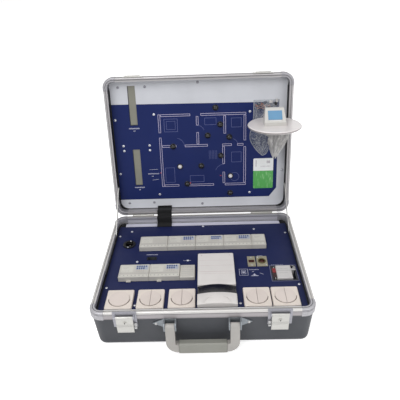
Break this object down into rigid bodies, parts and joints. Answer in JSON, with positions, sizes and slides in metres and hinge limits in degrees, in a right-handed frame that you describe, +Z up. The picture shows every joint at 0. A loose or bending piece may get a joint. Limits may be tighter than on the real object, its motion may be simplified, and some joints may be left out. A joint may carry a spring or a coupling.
{
  "type": "building automation training case",
  "caption": "Hinged aluminium-edged carrying case open on a table, with rail devices, switches and a motion detector below and lamps on a printed lid panel.",
  "frame": {"origin": "centre of the base's flat underside, at floor level", "axes": "+X to the right along the front, +Y to the back where the lid is hinged, +Z up"},
  "size_m": [0.4928, 0.5136, 0.4789],
  "materials": {
    "shell_plastic": "fine grained moulded plastic",
    "profile": "satin anodised",
    "casting": "satin cast",
    "panel_blue": "printed blue with a white border",
    "screw_steel": "zinc plated",
    "rail_zinc": "galvanised",
    "module_plastic": "light grey moulded",
    "key_blue": "small blue keys",
    "inlet_plastic": "black moulded",
    "black_plastic": "black",
    "rocker_plastic": "dark green translucent",
    "socket_metal": "yellow passivated",
    "socket_core": "dark red inside",
    "tray_plastic": "dark grey",
    "coupler_plastic": "near white",
    "terminal_red": "red and black",
    "plate_white": "warm white",
    "dial_white": "warm white",
    "detector_white": "white",
    "lens_black": "black lens",
    "fitting_nickel": "nickel plated",
    "handle_silver": "silver grey",
    "grip_grey": "soft grey",
    "ribbon_grey": "near black",
    "lightbar_pink": "frosted",
    "lamp_black": "glossy dome",
    "lamp_silver": "glossy dome",
    "board_green": "circuit board",
    "card_print": "green and white",
    "clear_film": "clear film",
    "sensor_white": "white",
    "clear_plastic": "clear moulded",
    "sensor_case": "grey",
    "screen_blue": "display window"
  },
  "bodies": {
    "base": {"base_shell": "shell_plastic", "base_frame": "profile", "base_corners": "casting", "base_panel": "panel_blue", "din_rails": "rail_zinc", "modules_long_row": "module_plastic", "modules_short_row": "module_plastic", "module_keys": "key_blue", "power_inlet": "inlet_plastic", "mains_switch_body": "black_plastic", "socket_plates": "socket_metal", "socket_inserts": "socket_core", "coupler_tray": "tray_plastic", "coupler_module": "coupler_plastic", "bus_terminal": "terminal_red", "switch_plates": "plate_white", "detector_housing": "detector_white", "detector_lens": "lens_black", "detector_cap": "detector_white", "latch_plates": "fitting_nickel", "handle_brackets": "handle_silver", "pivot_pins": "screw_steel", "hinge_base_leaves": "fitting_nickel", "stay_rails": "fitting_nickel", "strap_lower": "ribbon_grey"},
    "lid": {"lid_shell": "shell_plastic", "lid_frame": "profile", "lid_corners": "casting", "lid_panel": "panel_blue", "lid_fasteners": "screw_steel", "light_bars": "lightbar_pink", "lamps_dark": "lamp_black", "lamps_clear": "lamp_silver", "lamp_board": "board_green", "lid_catches": "fitting_nickel", "card": "card_print", "accessory_bag": "clear_film", "strap_upper": "ribbon_grey", "hinge_lid_leaves": "fitting_nickel"},
    "mains_rocker": {"mains_rocker": "rocker_plastic"},
    "push_disc": {"push_disc": "dial_white"},
    "flap_left": {"latch_flap_left": "fitting_nickel"},
    "flap_right": {"latch_flap_right": "fitting_nickel"},
    "handle": {"handle_bow": "handle_silver", "handle_grip": "grip_grey"},
    "stay_left": {"stay_left": "fitting_nickel"},
    "stay_right": {"stay_right": "fitting_nickel"},
    "sensor_unit": {"sensor_disc": "sensor_white", "sensor_holder": "clear_plastic", "sensor_bracket": "clear_plastic", "sensor_housing": "sensor_case", "sensor_screen": "screen_blue"},
    "rocker_2_left": {"rocker_2_left": "dial_white"},
    "rocker_2_right": {"rocker_2_right": "dial_white"},
    "rocker_3_left": {"rocker_3_left": "dial_white"},
    "rocker_3_right": {"rocker_3_right": "dial_white"},
    "rocker_4_left": {"rocker_4_left": "dial_white"},
    "rocker_4_right": {"rocker_4_right": "dial_white"},
    "rocker_5_left": {"rocker_5_left": "dial_white"},
    "rocker_5_right": {"rocker_5_right": "dial_white"}
  },
  "joints": [
    {"name": "lid_hinge", "type": "hinge", "parent": "base", "child": "lid", "pos_m": [0, 0.1875, 0.1045], "axis": [1, 0, 0], "range_deg": [0, 99]},
    {"name": "sensor_lift_off", "type": "slide", "parent": "base", "child": "sensor_unit", "axis": [0, -0.927, -0.375], "range_m": [0, 0.801]},
    {"name": "stay_pivot_left", "type": "hinge", "parent": "lid", "child": "stay_left", "pos_m": [-0.2276, 0.2081, 0.18021], "axis": [1, 0, 0], "range_deg": [-131.32, 0]},
    {"name": "stay_pivot_right", "type": "hinge", "parent": "lid", "child": "stay_right", "pos_m": [0.2276, 0.2081, 0.18021], "axis": [1, 0, 0], "range_deg": [-131.32, 0]},
    {"name": "latch_pivot_left", "type": "hinge", "parent": "base", "child": "flap_left", "pos_m": [-0.163, -0.1933, 0.096], "axis": [-1, 0, 0], "range_deg": [0, 120]},
    {"name": "latch_pivot_right", "type": "hinge", "parent": "base", "child": "flap_right", "pos_m": [0.163, -0.1933, 0.096], "axis": [-1, 0, 0], "range_deg": [0, 120]},
    {"name": "handle_pivot", "type": "hinge", "parent": "base", "child": "handle", "pos_m": [0, -0.197, 0.072], "axis": [-1, 0, 0], "range_deg": [0, 95]},
    {"name": "mains_rocker_pivot", "type": "hinge", "parent": "base", "child": "mains_rocker", "pos_m": [-0.12609, 0.0178, 0.0825], "axis": [0, -1, 0], "range_deg": [0, 16]},
    {"name": "push_disc_rock", "type": "hinge", "parent": "base", "child": "push_disc", "pos_m": [-0.1824, -0.133, 0.0886], "axis": [1, 0, 0], "range_deg": [-3, 3], "stiffness_Nm_per_rad": 0.6},
    {"name": "rocker_2_left_rock", "type": "hinge", "parent": "base", "child": "rocker_2_left", "pos_m": [-0.11383, -0.133, 0.0886], "axis": [1, 0, 0], "range_deg": [-3, 3], "stiffness_Nm_per_rad": 0.6},
    {"name": "rocker_2_right_rock", "type": "hinge", "parent": "base", "child": "rocker_2_right", "pos_m": [-0.11383, -0.133, 0.0886], "axis": [1, 0, 0], "range_deg": [-3, 3], "stiffness_Nm_per_rad": 0.6},
    {"name": "rocker_3_left_rock", "type": "hinge", "parent": "base", "child": "rocker_3_left", "pos_m": [-0.04476, -0.133, 0.0886], "axis": [1, 0, 0], "range_deg": [-3, 3], "stiffness_Nm_per_rad": 0.6},
    {"name": "rocker_3_right_rock", "type": "hinge", "parent": "base", "child": "rocker_3_right", "pos_m": [-0.04476, -0.133, 0.0886], "axis": [1, 0, 0], "range_deg": [-3, 3], "stiffness_Nm_per_rad": 0.6},
    {"name": "rocker_4_left_rock", "type": "hinge", "parent": "base", "child": "rocker_4_left", "pos_m": [0.12037, -0.133, 0.0886], "axis": [1, 0, 0], "range_deg": [-3, 3], "stiffness_Nm_per_rad": 0.6},
    {"name": "rocker_4_right_rock", "type": "hinge", "parent": "base", "child": "rocker_4_right", "pos_m": [0.12037, -0.133, 0.0886], "axis": [1, 0, 0], "range_deg": [-3, 3], "stiffness_Nm_per_rad": 0.6},
    {"name": "rocker_5_left_rock", "type": "hinge", "parent": "base", "child": "rocker_5_left", "pos_m": [0.1824, -0.133, 0.0886], "axis": [1, 0, 0], "range_deg": [-3, 3], "stiffness_Nm_per_rad": 0.6},
    {"name": "rocker_5_right_rock", "type": "hinge", "parent": "base", "child": "rocker_5_right", "pos_m": [0.1824, -0.133, 0.0886], "axis": [1, 0, 0], "range_deg": [-3, 3], "stiffness_Nm_per_rad": 0.6}
  ],
  "couplings": [
    {"joint": "stay_pivot_left", "follows": "lid_hinge", "ratio": -1.3244},
    {"joint": "stay_pivot_right", "follows": "lid_hinge", "ratio": -1.3244},
    {"joint": "sensor_lift_off", "follows": "lid_hinge", "m_per_rad": 0.463}
  ]
}
